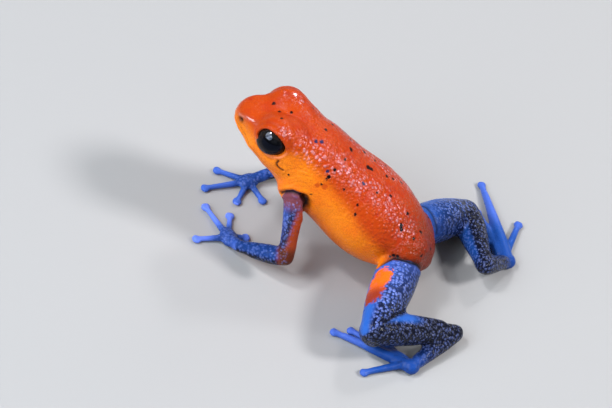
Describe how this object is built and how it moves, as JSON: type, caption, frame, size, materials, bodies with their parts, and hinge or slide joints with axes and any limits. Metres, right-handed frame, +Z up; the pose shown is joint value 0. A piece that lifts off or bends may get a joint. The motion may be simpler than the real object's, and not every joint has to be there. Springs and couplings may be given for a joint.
{
  "type": "strawberry poison dart frog",
  "caption": "Life-size strawberry poison dart frog, red body and blue limbs, raised on its hands with its hind legs folded.",
  "frame": {"origin": "middle of the frog's box, on the floor under its hands and feet", "axes": "+Z up; the head points along -X; the frog's left side is -Y"},
  "size_m": [0.027, 0.0272, 0.013],
  "materials": {
    "red_skin": "moist, finely granular",
    "arm_skin": "moist, smooth",
    "blue_skin": "moist, finely granular",
    "dark_blue_skin": "moist, finely granular",
    "eye": "wet gloss"
  },
  "bodies": {
    "root": {"head": "red_skin", "trunk": "red_skin", "eye_left": "eye", "eye_right": "eye", "upper_arm_left": "arm_skin", "upper_arm_right": "arm_skin", "forearm_left": "dark_blue_skin", "forearm_right": "dark_blue_skin", "hand_left": "blue_skin", "hand_right": "blue_skin", "thigh_left": "blue_skin", "thigh_right": "blue_skin", "shank_left": "dark_blue_skin", "shank_right": "dark_blue_skin", "tarsus_left": "dark_blue_skin", "tarsus_right": "dark_blue_skin", "foot_left": "blue_skin", "foot_right": "blue_skin"}
  },
  "joints": []
}
